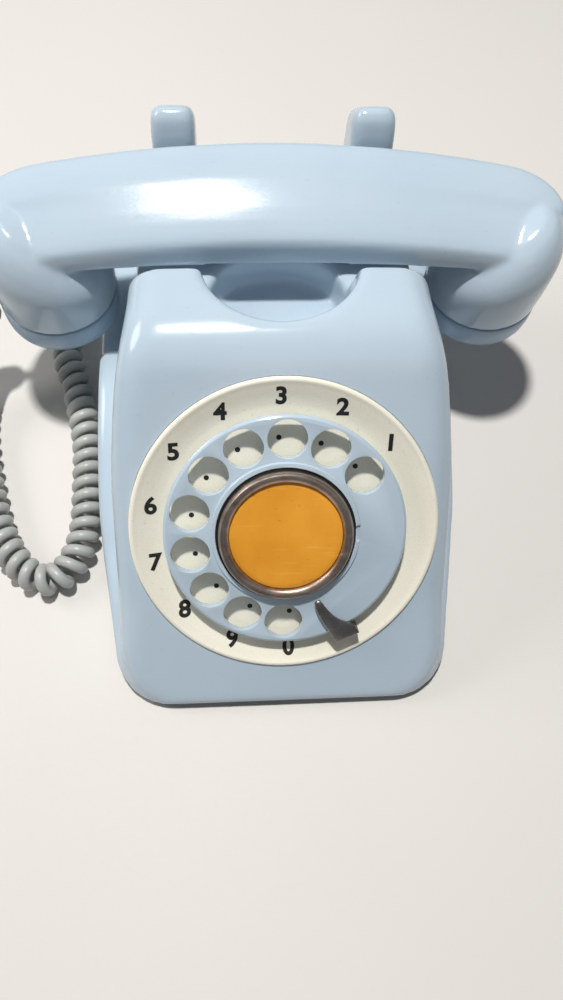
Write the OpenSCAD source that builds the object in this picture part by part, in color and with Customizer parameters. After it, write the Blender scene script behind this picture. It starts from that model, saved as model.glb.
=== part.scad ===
// Rotary desk telephone, built as an assembly of separate pieces.
// Millimetres. +X right, +Y to the back, +Z up. Origin on the table, under the middle of the set.

/* [Housing] */
// Depth of the housing from the toe to the back
body_depth = 230; // [215:1:280]
// Width of the sloping face near the toe
face_w = 136; // [128:1:160]
// Width across the top, between the two cups of the handset
crown_w = 118; // [104:1:120]
// Width over the skirt at the back
skirt_w = 158; // [150:1:190]
// Height of the ledge where the skirt meets the upper walls, at the back
skirt_h = 45; // [35:1:46]
// Tilt of the dial face from the table
face_tilt = 43; // [40:1:46]
// Height of the toe's upper edge
toe_h = 7; // [6:0.5:12]
// Horizontal run of the flat face, from the toe to the crown
face_run = 102; // [98:1:110]
// Radius of the crown between the face and the top
crown_r = 34; // [25:1:40]
// Radius along the long upper edges
edge_r = 13; // [8:1:16]
// Radius of the vertical corners
corner_r = 10; // [6:1:14]
// Wall thickness
wall = 2.5; // [2:0.1:3.5]
// Height of the housing's lower edge above the table
base_gap = 3; // [2:0.5:5]

/* [Cradle] */
// Width of the finger scoop in front of the handset
scoop_w = 58; // [50:1:70]
// How far the scoop reaches forward of the ridge
scoop_reach = 26; // [15:1:26]
// Free space between the ridge and the handle
ridge_gap = 12.5; // [10:0.5:16]
// Width of one horn
horn_w = 18; // [14:1:22]
// Distance of each horn from the middle
horn_x = 41; // [36:1:44]
// Height of the horns above the table
horn_h = 123.5; // [120:0.5:130]

/* [Dial] */
// Horizontal distance from the toe to the middle of the dial
dial_back = 57; // [55:1:64]
// Diameter of the number ring
ring_d = 122; // [116:1:124]
// Diameter of the finger wheel
wheel_d = 95; // [92:1:98]
// Thickness of the finger wheel
wheel_t = 3.5; // [3:0.1:4.5]
// Diameter of a finger hole
hole_d = 15.4; // [13:0.1:16]
// Radius of the circle that the finger holes lie on
hole_circle_r = 38; // [37:0.5:39]
// Outer diameter of the centre ring
centre_ring_d = 54; // [48:0.1:54]
// Diameter of the number card that shows
card_d = 44; // [38:0.5:44]
// Diameter of the dial shaft
shaft_d = 8; // [6:0.5:9]
// Teeth on the main gear
gear_teeth = 60; // [60:12:60]
// Teeth on the governor pinion
pinion_teeth = 12; // [12:1:12]
// Size of the gear teeth, pitch diameter over teeth
gear_module = 0.8; // [0.7:0.05:0.85]

/* [Handset] */
// Length of the handset
handset_len = 238; // [220:1:280]
// Width of the handle, front to back
handle_w = 40; // [34:1:46]
// Thickness of the handle
handle_t = 21; // [20:1:28]
// Height of the handle's underside above the table
handle_z = 93; // [90:0.5:98]
// Diameter of the ear and mouth caps
cap_d = 49; // [44:1:52]
// Height of the ear and mouth caps
cap_h = 14; // [11:0.5:16]
// Distance from the handle's underside down to the face of the caps
cap_drop = 45; // [42:0.5:46]

/* [Ringer] */
// Diameter of a gong
gong_d = 46; // [38:1:48]
// Distance of each gong from the middle
gong_x = 28; // [27:0.5:30]
// Diameter of a ringer coil
coil_d = 14; // [11:0.5:15]

/* [Cords] */
// Outer diameter of the curly cord
cord_d = 15; // [12:0.2:15]
// Diameter of the straight lead at each end of the curly cord
lead_d = 5.2; // [3.5:0.1:5.5]
// Radius of the bore for the line cord
line_bore_r = 3; // [2.5:0.1:3.5]

/* [Hidden] */

$fn = 64;
fit = 0.05;          // running clearance, on the radius
gap = 0.3;           // clearance between pieces that only pass each other
slip = 0.02;         // clearance between fixed pieces that seat on each other

toe_y = -body_depth / 2;
back_y = body_depth / 2;
crown_start = toe_y + face_run;
crown_end = crown_start + crown_r * sin(face_tilt);
ridge_h = toe_h + face_run * tan(face_tilt) + crown_r * (1 - cos(face_tilt));
handle_y = back_y - 30 - handle_w / 2;
ridge_y = handle_y - handle_w / 2 - ridge_gap;
ridge_edge = 6;
ridge_drop = 4;
trough_z = handle_z - 5;
roof_share = 1.35;   // vertical thickness of the roof over the wall's thickness
face_t = wall * roof_share * cos(face_tilt);
toe_corner = 22;
toe_solid = 4;
plate_t = 2;
floor_z = base_gap + plate_t;

dial_y = toe_y + dial_back;
dial_z = toe_h + dial_back * tan(face_tilt);
wheel_low = 1.5;
wheel_top = wheel_low + wheel_t;
collar_h = 1.2;
dish_low = -2.2;
dish_t = 1.5;
lip_h = 1.2;
lip_seat = 1;
opening_r = ring_d / 2 - 3;
hole_first = 37.6;
hole_step = 25.67;
stop_angle = 295;
centre_h = 5;
frame_top = -6;
frame_t = 2;
rear_top = -28.5;
frame_r = 44;
boss_r = 9;
gear_r = gear_module * gear_teeth / 2;
pinion_r = gear_module * pinion_teeth / 2;
pinion_angle = 210;
gear_top = -21;
gear_t = 2.5;
pin_r = 1.5;

cup_x = (handset_len - cap_d) / 2;
cap_z = handle_z - cap_drop;
seam_z = cap_z + cap_h;
cup_bore_r = cap_d / 2 - 3;
cup_top_z = handle_z - 9;

gong_y = handle_y + 15;
gong_top = 30;
pivot_y = gong_y - 21;
coil_z = floor_z + 1.5 + coil_d / 2 + 2;
deck_z = 68;
deck_t = 1.5;
plunger_x = horn_x - 3;
plunger_r = 3.5;
lever_y = handle_y - 19;
lever_z = 54;
foot_spots = [[-50, toe_y + 30], [50, toe_y + 30], [-62, back_y - 25], [62, back_y - 25]];
screw_spots = [[-52, toe_y + 16], [52, toe_y + 16], [-66, back_y - 60], [66, back_y - 60]];

cord_z = cord_d / 2 + 0.2;
body_exit = [-skirt_w / 2, back_y - 29, 11];
handset_exit = [-handset_len / 2 + 1, handle_y - 6, seam_z + 8];
gland_r = 3.4;
// Middle of the curly cord, from the handset's lead round the table to the body's lead.
cord_route = [
    [-126, 57, 56], [-131, 55, 46], [-135, 50, 34], [-138, 42, 22], [-139.5, 31, 12.5], [-139, 18, 8.5],
    [-136, 0, cord_z], [-131, -19, cord_z], [-125, -37, cord_z], [-115.5, -52, cord_z],
    [-104, -59, cord_z], [-93.5, -53, cord_z], [-88, -37, cord_z], [-87.4, -12, cord_z],
    [-89.5, 14, cord_z], [-95, 38, cord_z], [-101, 58, cord_z], [-101, 74, cord_z], [-94.5, 84, 9.5]];
handset_out = (cord_route[0] - handset_exit) / norm(cord_route[0] - handset_exit);

// ---------- helpers ----------

// Smooth step from 0 at a to 1 at b.
function ease(a, b, x) = let(u = min(1, max(0, (x - a) / (b - a)))) u * u * (3 - 2 * u);

// How far a round corner of radius r draws in at the distance d from the end.
function corner_cut(d, r) = d >= r ? 0 : r - sqrt(max(0, r * r - (r - d) * (r - d)));

// Height of the housing's top along its middle line.
function top_z(y) =
    y < crown_start ? toe_h + (y - toe_y) * tan(face_tilt) :
    y < crown_end ? ridge_h - crown_r + sqrt(crown_r * crown_r - pow(crown_end - y, 2)) :
    y < ridge_y - ridge_edge ? ridge_h :
    y < ridge_y ? ridge_h - corner_cut(ridge_y - y, ridge_edge) :
    y < ridge_y + ridge_drop ?
        ridge_h - ridge_edge - (ridge_h - ridge_edge - trough_z) * (y - ridge_y) / ridge_drop :
    trough_z - corner_cut(back_y - y, ridge_edge);

function upper_half(y) = face_w / 2 - (face_w - crown_w) / 2 * ease(70, 145, y - toe_y);
function skirt_half(y) = face_w / 2 + 2.5 + (skirt_w / 2 - face_w / 2 - 2.5) * ease(0, 90, y - toe_y);
function ledge_z(y) = toe_h * 0.6 + (skirt_h - toe_h * 0.6) * ease(0, 140, y - toe_y);

// Front end of the outline drawn in by t: the hollow stops short of the thin nose.
function front_y(t) = toe_y + (t == 0 ? 0 : t + toe_solid);

// Right half of the housing's outline at y, drawn in by the thickness t all round.
function half_outline(y, t) =
    let(cut = corner_cut(y - front_y(t), toe_corner - t) + corner_cut(back_y - t - y, corner_r - t),
        high = min(top_z(y - t), top_z(y), top_z(y + t)) - roof_share * t,
        tall = high - base_gap,
        ledge = min(max(ledge_z(y) - t, base_gap + 0.3 * tall), base_gap + 0.45 * tall),
        skirt = skirt_half(y) - t - cut,
        upper = upper_half(y) - t - cut,
        s = min(4, 0.4 * (ledge - base_gap), 0.4 * (skirt - upper)),
        step = skirt - s - upper,
        rise = high - ledge,
        r = min(edge_r, 0.5 * rise))
    concat(
        [[skirt, t == 0 ? base_gap : -20], [skirt, ledge - s], [skirt - 0.3 * s, ledge - 0.3 * s], [skirt - s, ledge],
            [upper + 0.35 * step, ledge + min(0.6, 0.1 * rise)],
            [upper + 0.1 * step, ledge + min(2.5, 0.3 * rise)]],
        [for (a = [0:15:90]) [upper - r + r * cos(a), high - r + r * sin(a)]]);

function mirrored(half) = [for (i = [len(half) - 1:-1:0]) [-half[i][0], half[i][1]]];
function outline(y, t) = concat(half_outline(y, t), mirrored(half_outline(y, t)));

// Places along the depth where an outline is drawn.
function stations(t) = concat(
    [for (d = [0, 0.8, 2.5, 5.5, 10, 16, 22]) front_y(t) + d],
    [for (i = [1:6]) toe_y + 30 + i * (face_run - 30) / 6],
    [for (i = [1:5]) crown_start + i * (crown_end - crown_start) / 5],
    [for (d = [ridge_edge, 4, 2, 0.8, 0]) ridge_y - d],
    [ridge_y + ridge_drop / 2, ridge_y + ridge_drop, handle_y, back_y - 22],
    [for (d = [corner_r, 6, 3.5, 1.5, 0.4, 0]) back_y - t - d]);

// A closed solid through outlines that all have the same number of points.
module loft(ys, t) {
    n = len(outline(ys[0], t));
    m = len(ys);
    points = [for (y = ys) for (p = outline(y, t)) [p[0], y, p[1]]];
    sides = [for (k = [0:m - 2]) for (i = [0:n - 1])
        [k * n + i, k * n + (i + 1) % n, (k + 1) * n + (i + 1) % n, (k + 1) * n + i]];
    front = [for (i = [0:n / 2 - 2]) [n - 1 - i, n - 2 - i, i + 1, i]];
    back = [for (i = [0:n / 2 - 2]) [i, i + 1, n - 2 - i, n - 1 - i] + (m - 1) * [n, n, n, n]];
    polyhedron(points, concat(sides, front, back));
}

module at_dial() {
    translate([0, dial_y, dial_z])
        rotate([face_tilt, 0, 0])
            children();
}

module tube(r_out, r_in, h) {
    difference() {
        cylinder(r = r_out, h = h);
        translate([0, 0, -1])
            cylinder(r = r_in, h = h + 2);
    }
}

function polar(r, a) = [r * cos(a), r * sin(a)];

// Outline of a gear with straight-sided teeth, thin enough to run with backlash.
function gear_outline(teeth, m) =
    let(r = m * teeth / 2, p = 360 / teeth)
    [for (i = [0:teeth - 1])
        for (q = [[-0.24, r - 1.25 * m], [-0.2, r], [-0.1, r + 0.75 * m], [0.1, r + 0.75 * m], [0.2, r],
                [0.24, r - 1.25 * m]])
            polar(q[1], (i + q[0]) * p)];

// Points of a smooth curve through the route, n steps to each leg.
function curve_point(a, b, c, d, u) =
    0.5 * (2 * b + (c - a) * u + (2 * a - 5 * b + 4 * c - d) * u * u + (3 * b - a - 3 * c + d) * u * u * u);
function smooth_route(p, n) = let(k = len(p) - 1) concat(
    [for (i = [0:k - 1]) for (j = [0:n - 1])
        curve_point(p[max(0, i - 1)], p[i], p[i + 1], p[min(k, i + 2)], j / n)],
    [p[k]]);
function unit(v) = v / norm(v);

// A tube of radius r along the points, with flat ends.
module swept_tube(points, r, sides) {
    k = len(points) - 1;
    rings = [for (i = [0:k])
        let(t = unit(points[min(k, i + 1)] - points[max(0, i - 1)]),
            across = unit(cross(t, [0, 0, 1])),
            up = cross(across, t))
        for (s = [0:sides - 1])
            points[i] + r * (cos(s * 360 / sides) * across + sin(s * 360 / sides) * up)];
    walls = [for (i = [0:k - 1]) for (s = [0:sides - 1])
        let(a = i * sides + s, b = i * sides + (s + 1) % sides)
        for (face = [[a, b, b + sides], [a, b + sides, a + sides]]) face];
    first = [for (s = [sides - 1:-1:0]) s];
    last = [for (s = [0:sides - 1]) k * sides + s];
    polyhedron(rings, concat(walls, [first, last]));
}

// A round rod from one point to another.
module rod_between(a, b, r_a, r_b) {
    v = b - a;
    translate(a)
        rotate([0, acos(v[2] / norm(v)), atan2(v[1], v[0])])
            cylinder(h = norm(v), r1 = r_a, r2 = r_b);
}

// ---------- housing and base ----------

// The space of the finger scoop, grown by t.
module scoop_space(t) {
    hull() {
        translate([0, ridge_y + 1, ridge_h + 1])
            resize([scoop_w + 2 * t, 2 * (scoop_reach + 1 + t), 1])
                cylinder(r = 10, h = 1, $fn = 48);
        translate([0, ridge_y + 1, trough_z + 2 - t])
            resize([scoop_w - 8 + 2 * t, 2 * (scoop_reach - 8 + t), 1])
                cylinder(r = 10, h = 1, $fn = 48);
    }
}

module screw_boss(spot) {
    translate([spot[0], spot[1], floor_z + slip])
        cylinder(r = 4, h = 60);
}

module horn(side) {
    translate([side * horn_x - horn_w / 2, 0, 0])
        rotate([90, 0, 90])
            linear_extrude(horn_w)
                polygon([[back_y - 29, trough_z - 1], [back_y - 27.5, trough_z + 14],
                    [back_y - 24.5, horn_h - 6], [back_y - 21.5, horn_h - 1.6],
                    [back_y - 18, horn_h], [back_y - 14.5, horn_h - 1.4], [back_y - 3.5, horn_h - 12],
                    [back_y - 1, horn_h - 15.5], [back_y - 0.5, horn_h - 20], [back_y - 0.5, trough_z - 12],
                    [back_y - 4, trough_z - 12]]);
}

module rest_pad(side) {
    translate([side * (crown_w / 2 - 8) - 3, handle_y - 12, trough_z - 1])
        cube([6, 24, handle_z - trough_z + 1 - 0.1]);
}

module dial_cut() {
    at_dial() {
        translate([0, 0, -12])
            cylinder(r = opening_r, h = 40);
        translate([0, 0, -lip_seat])
            cylinder(r = ring_d / 2 + slip * 10, h = 20);
    }
}

module housing() {
    color([0.69, 0.77, 0.85])
    difference() {
        union() {
            difference() {
                loft(stations(0), 0);
                loft(stations(wall), wall);
            }
            intersection() {
                loft(stations(wall / 2), wall / 2);
                union() {
                    scoop_space(wall);
                    for (spot = screw_spots)
                        screw_boss(spot);
                }
            }
            for (side = [-1, 1]) {
                horn(side);
                rest_pad(side);
            }
        }
        scoop_space(0);
        dial_cut();
        for (side = [-1, 1])
            translate([side * plunger_x, handle_y, trough_z - 20])
                cylinder(r = plunger_r + 1, h = 30);
        for (spot = screw_spots)
            translate([spot[0], spot[1], 0])
                cylinder(r = 1.5, h = floor_z + 11);
        translate([body_exit[0] - 5, body_exit[1], body_exit[2]])
            rotate([0, 90, 0])
                cylinder(r = lead_d / 2 + 2.2, h = 15);
        translate([35, back_y - 8, 14])
            rotate([-90, 0, 0])
                cylinder(r = line_bore_r + 3.2, h = 12);
    }
}

module base_outline(inset) {
    ys = stations(inset);
    right = [for (y = ys) [half_outline(y, inset)[0][0], y]];
    left = [for (i = [len(right) - 1:-1:0]) [-right[i][0], right[i][1]]];
    polygon(concat(right, left));
}

module base_plate() {
    color("silver")
    difference() {
        translate([0, 0, base_gap])
            linear_extrude(plate_t)
                base_outline(wall + 2 * gap);
        for (spot = foot_spots)
            translate([spot[0], spot[1], 0])
                cylinder(r = 2.5 + fit, h = 20);
        for (spot = screw_spots)
            translate([spot[0], spot[1], 0])
                cylinder(r = 1.8, h = 20);
        translate([62, -8, 0])
            cube([5, 18, 20], center = true);
    }
}

module rubber_feet() {
    color("dimgray")
    for (spot = foot_spots)
        translate([spot[0], spot[1], 0]) {
            cylinder(r1 = 7, r2 = 8, h = base_gap);
            cylinder(r = 2.5, h = floor_z + 0.5);
        }
}

module housing_screws() {
    color("silver")
    for (spot = screw_spots)
        translate([spot[0], spot[1], 0]) {
            translate([0, 0, base_gap - 2])
                cylinder(r = 3.2, h = 2);
            cylinder_from(base_gap - 1, floor_z + 9, 1.45);
        }
}

module cylinder_from(z0, z1, r) {
    translate([0, 0, z0])
        cylinder(r = r, h = z1 - z0);
}

// ---------- dial ----------

module number_ring() {
    r = ring_d / 2;
    inner = wheel_d / 2 + 2;
    color([0.89, 0.87, 0.80])
    at_dial()
        rotate_extrude()
            polygon([[17, dish_low - dish_t], [inner, dish_low - dish_t], [opening_r - 0.4, -2.4],
                [opening_r - 0.4, -lip_seat], [r, -lip_seat], [r, lip_h * 0.4], [r - 0.5, lip_h],
                [r - 1.3, lip_h + 0.2], [r - 2.2, lip_h - 0.2], [inner + 1, dish_low + 0.6],
                [inner - 0.5, dish_low], [17, dish_low]]);
}

module finger_stop() {
    z = wheel_top + 1.2;
    r_out = wheel_d / 2 + 2.4;
    color([0.45, 0.42, 0.40])
    at_dial()
        rotate([0, 0, stop_angle]) {
            translate([0, 0, z])
                linear_extrude(1.4)
                    polygon([[31.6, -1.9], [31.2, -0.8], [31.8, 0.3], [36, 1.5], [41, 3], [46, 6],
                        [r_out + 1.6, 9.2], [r_out + 1.6, 2.2], [46, 1.2], [41, 0], [36, -1.2]]);
            translate([r_out, 2.2, -0.5])
                cube([1.6, 7, z + 1.4 + 0.5]);
            translate([r_out, 2.6, -0.5])
                cube([3.8, 6.2, 0.8]);
        }
}

module dial_frame() {
    z = frame_top - frame_t;
    color("lightgray")
    at_dial()
        difference() {
            union() {
                cylinder_from(z, frame_top, frame_r);
                cylinder_from(-19, z + 1, boss_r);
                for (a = [90, 210, 330])
                    rotate([0, 0, a]) {
                        translate([frame_r - 2, -5, z])
                            cube([opening_r + 4 - frame_r + 2, 10, frame_t]);
                        translate([opening_r + 2.3, 0, 0])
                            cylinder_from(frame_top - 0.5, -face_t - 1.7, 1.8);
                    }
                for (a = [30, 150, 270])
                    rotate([0, 0, a])
                        translate([frame_r - 5, 0, 0])
                            cylinder_from(rear_top + slip, z + 1, 2.5);
            }
            cylinder_from(-40, 10, 6);
            translate(polar(gear_r + pinion_r, pinion_angle))
                cylinder_from(-15, 10, pin_r + fit);
        }
}

module dial_rear_plate() {
    color("lightgray")
    at_dial()
        difference() {
            cylinder_from(rear_top - 1.5, rear_top, frame_r);
            translate(polar(gear_r + pinion_r, pinion_angle))
                cylinder_from(-50, 10, pin_r + fit);
            cylinder_from(-50, 10, 6);
        }
}

module dial_bearing() {
    color("goldenrod")
    at_dial()
        translate([0, 0, -19])
            tube(6 - slip, shaft_d / 2 + fit, 19 + frame_top + 1.5);
}

// Flat spiral spring round the bearing boss.
module return_spring() {
    turns = 5;
    r_in = boss_r + 0.8;
    pitch = 1.2;
    steps = turns * 24;
    band = 0.45;
    color("slategray")
    at_dial()
        translate([0, 0, -17])
            linear_extrude(6)
                polygon(concat(
                    [for (i = [0:steps]) polar(r_in + pitch * i / 24, i * 15)],
                    [for (i = [steps:-1:0]) polar(r_in + band + pitch * i / 24, i * 15)]));
}

module pulse_contacts() {
    color("darkkhaki")
    at_dial()
        rotate([0, 0, 60]) {
            translate([26, -6, -20])
                cube([10, 12, frame_top - frame_t + 20 - slip]);
            for (y = [-4.2, -1.2, 1.8])
                translate([20, y, -19])
                    cube([6.5, 0.5, 5]);
        }
}

module governor_cup() {
    color("tan")
    at_dial()
        translate(polar(gear_r + pinion_r, pinion_angle))
            difference() {
                cylinder_from(-18, frame_top - frame_t - slip, 10.5);
                cylinder_from(-19, -10, 9.3);
                cylinder_from(-30, 0, pin_r + fit);
            }
}

module finger_wheel() {
    r = wheel_d / 2;
    ring_seat = centre_ring_d / 2 + 0.4;
    bore = shaft_d / 2 + slip;
    color([0.69, 0.77, 0.85])
    at_dial()
        difference() {
            rotate_extrude()
                polygon([[bore, -3], [bore + 5, -3], [bore + 5, wheel_low],
                    [r - 0.8, wheel_low], [r, wheel_low + 0.8], [r, wheel_top - 1.2], [r - 1.2, wheel_top],
                    [ring_seat + 2.6, wheel_top], [ring_seat + 2.2, wheel_top + collar_h],
                    [ring_seat, wheel_top + collar_h], [ring_seat, wheel_top], [bore, wheel_top]]);
            for (i = [0:9])
                rotate([0, 0, hole_first + i * hole_step])
                    translate([hole_circle_r, 0, 0])
                        cylinder_from(-5, 20, hole_d / 2);
        }
}

module centre_ring() {
    r = centre_ring_d / 2;
    seat = card_d / 2;
    top = wheel_top + centre_h;
    color([0.48, 0.42, 0.40])
    at_dial()
        rotate_extrude()
            polygon([[r, wheel_top + slip], [r, top - 1.2], [r - 0.8, top - 0.2], [r - 2, top],
                [seat, top - 1.6], [seat, top - 2.2], [seat + 2.2, top - 2.2],
                [seat + 2.2, wheel_top + slip]]);
}

module number_card() {
    top = wheel_top + centre_h - 2.2 - slip;
    color([0.89, 0.61, 0.16])
    at_dial() {
        cylinder_from(top - 0.6, top, card_d / 2 + 2);
        cylinder_from(wheel_top + slip, top - 0.6, card_d / 2 - 4);
    }
}

module dial_shaft() {
    color("silver")
    at_dial() {
        cylinder_from(-26, wheel_top, shaft_d / 2);
        cylinder_from(-4.2, -3 - slip, shaft_d / 2 + 2);
    }
}

module main_gear() {
    color("goldenrod")
    at_dial()
        difference() {
            translate([0, 0, gear_top - gear_t])
                linear_extrude(gear_t)
                    polygon(gear_outline(gear_teeth, gear_module));
            cylinder_from(-50, 10, shaft_d / 2 + slip);
            for (a = [0:60:300])
                rotate([0, 0, a])
                    translate([gear_r * 0.6, 0, 0])
                        cylinder_from(-50, 10, 4);
        }
}

module governor_shaft() {
    color("silver")
    at_dial()
        translate(polar(gear_r + pinion_r, pinion_angle)) {
            cylinder_from(rear_top - 1, frame_top - 0.5, pin_r);
            rotate([0, 0, 180 / pinion_teeth])
                translate([0, 0, gear_top - gear_t - 0.2])
                    linear_extrude(gear_t + 0.4)
                        polygon(gear_outline(pinion_teeth, gear_module));
        }
}

module governor_weights() {
    color("darkgoldenrod")
    at_dial()
        translate(polar(gear_r + pinion_r, pinion_angle))
            difference() {
                union() {
                    cylinder_from(-17.5, -11, 3.5);
                    for (a = [0, 180])
                        rotate([0, 0, a])
                            translate([3, -2.5, -17])
                                cube([5, 5, 5]);
                }
                cylinder_from(-30, 0, pin_r + slip);
            }
}

// ---------- ringer ----------

module ringer_frame() {
    color("silver") {
        translate([-gong_x - 12, gong_y - 55, floor_z + slip])
            cube([2 * gong_x + 24, 76, 1.5]);
        for (side = [-1, 1])
            translate([side * gong_x, gong_y, 0])
                difference() {
                    cylinder_from(floor_z + 1.4, gong_top - 1.6, 4);
                    cylinder_from(gong_top - 12, gong_top, 1.5);
                }
        translate([-3, pivot_y - 1, floor_z + 1.4])
            difference() {
                cube([6, 4, coil_z - 4 - floor_z - 1.4]);
                translate([3, 2, -1])
                    cylinder(r = 1 + fit, h = 30);
            }
    }
}

module ringer_coils() {
    y0 = gong_y - 52;
    y1 = pivot_y - 2.5;
    color("saddlebrown")
    for (side = [-1, 1])
        translate([side * (coil_d / 2 + 3), 0, coil_z])
            rotate([-90, 0, 0]) {
                cylinder_from(y0, y0 + 1.5, coil_d / 2 + 1);
                cylinder_from(y0 + 1.5, y1 - 3.5, coil_d / 2);
                cylinder_from(y1 - 3.5, y1 - 2, coil_d / 2 + 1);
                cylinder_from(y1 - 2, y1, 3);
            }
}

module ringer_magnet() {
    color("dimgray")
        translate([-coil_d - 5, gong_y - 57, floor_z + 1.5 + 2 * slip])
            cube([2 * coil_d + 10, 5 - gap, coil_d + 4]);
}

module gong(side) {
    r = gong_d / 2;
    color("gold")
    translate([side * gong_x, gong_y, gong_top])
        rotate_extrude()
            polygon([[1.6, 0], [r - 7, 0], [r - 3, -1.2], [r - 0.8, -4], [r, -8], [r, -15],
                [r - 1.4, -15], [r - 1.5, -8], [r - 2.2, -5], [r - 4, -2.8], [r - 7, -1.6], [1.6, -1.6]]);
}

module gong_left() {
    gong(-1);
}

module gong_right() {
    gong(1);
}

module gong_screws() {
    color("silver")
    for (side = [-1, 1])
        translate([side * gong_x, gong_y, 0]) {
            cylinder_from(gong_top - 10, gong_top + slip, 1.45);
            cylinder_from(gong_top + slip, gong_top + 2.2, 3.5);
        }
}

module clapper() {
    hammer_z = gong_top - 11;
    color("silver") {
        difference() {
            translate([-coil_d / 2 - 6, pivot_y - 1, coil_z - 4 + slip])
                cube([coil_d + 12, 3.6, 8]);
            translate([0, pivot_y + 1, 0])
                cylinder_from(0, 60, 1 + fit);
        }
        rod_between([0, pivot_y + 2.4, coil_z], [0, gong_y - 2.5, hammer_z], 0.8, 0.8);
        translate([0, gong_y, 0])
            cylinder_from(hammer_z - 2.5, hammer_z + 2.5, 3.2);
    }
}

module clapper_pin() {
    color("silver")
        translate([0, pivot_y + 1, 0])
            cylinder_from(floor_z + 2, coil_z + 5, 1);
}

module loudness_bracket() {
    color("silver")
    for (x = [57, 65.2])
        difference() {
            translate([x, -14, floor_z + slip])
                cube([1.8, 12, 10]);
            translate([50, -8, 9.5])
                rotate([0, 90, 0])
                    cylinder(r = 1.5 + fit, h = 30);
        }
}

module loudness_wheel() {
    color("ivory")
    translate([0, -8, 9.5])
        rotate([0, 90, 0]) {
            cylinder_from(56.5, 67.5, 1.5);
            difference() {
                cylinder_from(60.2, 63.8, 9);
                for (a = [0:15:345])
                    rotate([0, 0, a])
                        translate([9.2, 0, 50])
                            cylinder(r = 0.6, h = 20);
            }
        }
}

// ---------- electrics ----------

module circuit_board() {
    color("peru") {
        translate([-45, -26, floor_z + 5])
            cube([90, 40, 1.6]);
        for (x = [-40, 40], y = [-22, 10])
            translate([x, y, 0])
                cylinder_from(floor_z + slip, floor_z + 5.2, 2.5);
    }
}

module transformer() {
    z = floor_z + 6.6 + slip;
    color("dimgray") {
        translate([-30, -20, z])
            cube([28, 6, 22]);
        translate([-30, 0, z])
            cube([28, 6, 22]);
        translate([-30, -14.1, z])
            cube([28, 14.2, 4]);
        translate([-26, -13.9, z + 5])
            cube([20, 13.8, 15]);
        translate([-30, -14.1, z + 18])
            cube([28, 14.2, 4]);
    }
}

module capacitor() {
    z = floor_z + 6.6 + slip + 7;
    color("khaki")
        translate([8, -16, z])
            rotate([0, 90, 0]) {
                cylinder(r = 7, h = 28);
                cylinder_from(-1.5, 29.5, 5.5);
            }
}

module terminal_strip() {
    z = floor_z + 6.6 + slip;
    color("ivory")
        translate([4, 0, z])
            difference() {
                cube([36, 9, 7]);
                for (i = [0:4])
                    translate([4 + i * 7, 4.5, 3])
                        cylinder(r = 1.6, h = 10);
            }
}

// ---------- hook switch ----------

module hook_bracket() {
    half = plunger_x + 9;
    color("lightgray")
    difference() {
        union() {
            translate([-half, lever_y - 16, deck_z])
                cube([2 * half, 40, deck_t]);
            for (side = [-1, 1]) {
                translate([side * (half - 0.75) - 0.75, lever_y - 12, floor_z + slip])
                    cube([1.5, 16, deck_z - floor_z]);
                translate([side * 12 - 0.75, lever_y - 5, lever_z - 5])
                    cube([1.5, 10, deck_z - lever_z + 5.5]);
            }
        }
        for (side = [-1, 1])
            translate([side * plunger_x, handle_y, deck_z - 5])
                cylinder(r = plunger_r + 2, h = 20);
        translate([-20, lever_y, lever_z])
            rotate([0, 90, 0])
                cylinder(r = pin_r + slip, h = 40);
    }
}

module plunger_guides() {
    color("ivory")
    for (side = [-1, 1])
        translate([side * plunger_x, handle_y, 0])
            difference() {
                union() {
                    cylinder_from(deck_z - 2, deck_z + deck_t + 3, plunger_r + 2 - slip);
                    cylinder_from(deck_z + deck_t + slip, deck_z + deck_t + 1.5, plunger_r + 4);
                }
                cylinder_from(0, 200, plunger_r + fit);
            }
}

module hook_plungers() {
    bar_z = deck_z - 12;
    color("gainsboro") {
        for (side = [-1, 1])
            translate([side * plunger_x, handle_y, 0]) {
                cylinder_from(bar_z + 3, handle_z - 2.5, plunger_r);
                cylinder_from(handle_z - 3, handle_z - 0.2, plunger_r);
            }
        translate([-plunger_x - 4, handle_y - 3, bar_z])
            cube([2 * plunger_x + 8, 6, 4]);
    }
}

module hook_lever() {
    tip = handle_y + 1 - lever_y;
    color("silver")
    translate([0, lever_y, lever_z])
        difference() {
            union() {
                rotate([0, 90, 0])
                    cylinder_from(-10, 10, 3.2);
                translate([-8, 0, 0.2])
                    cube([16, tip, 1.5]);
                translate([-5, -2.8, -13])
                    cube([10, 1.5, 13]);
            }
            rotate([0, 90, 0])
                cylinder_from(-20, 20, pin_r + fit);
        }
}

module hook_pin() {
    color("silver")
        translate([0, lever_y, lever_z])
            rotate([0, 90, 0])
                cylinder_from(-14, 14, pin_r);
}

// Return spring that pulls the lever's rear arm up, hung from the bracket's deck.
module hook_spring() {
    turns = 5;
    r = 2.2;
    wire = 0.4;
    low = lever_z + 2.3;
    high = deck_z - wire - slip;
    steps = turns * 10;
    color("slategray")
        swept_tube([for (i = [0:steps])
            [r * cos(i * 36), lever_y + 11 + r * sin(i * 36), low + (high - low) * i / steps]],
            wire, 6);
}

module hook_contacts() {
    y = lever_y - 11;
    color("darkkhaki") {
        translate([-7, y, deck_z - 14])
            cube([14, 6.5, 14 - slip]);
        for (i = [0:2])
            translate([-3, y + 0.6 + i * 2.6, lever_z - 13])
                cube([6, 0.5, 14]);
    }
}

// ---------- handset ----------

module handle_bar(length) {
    r = 9;
    for (y = [-1, 1], z = [0, 1])
        translate([-length / 2, handle_y + y * (handle_w / 2 - r), handle_z + r + z * (handle_t - 2 * r)])
            rotate([0, 90, 0])
                cylinder(r = r, h = length, $fn = 32);
}

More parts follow.
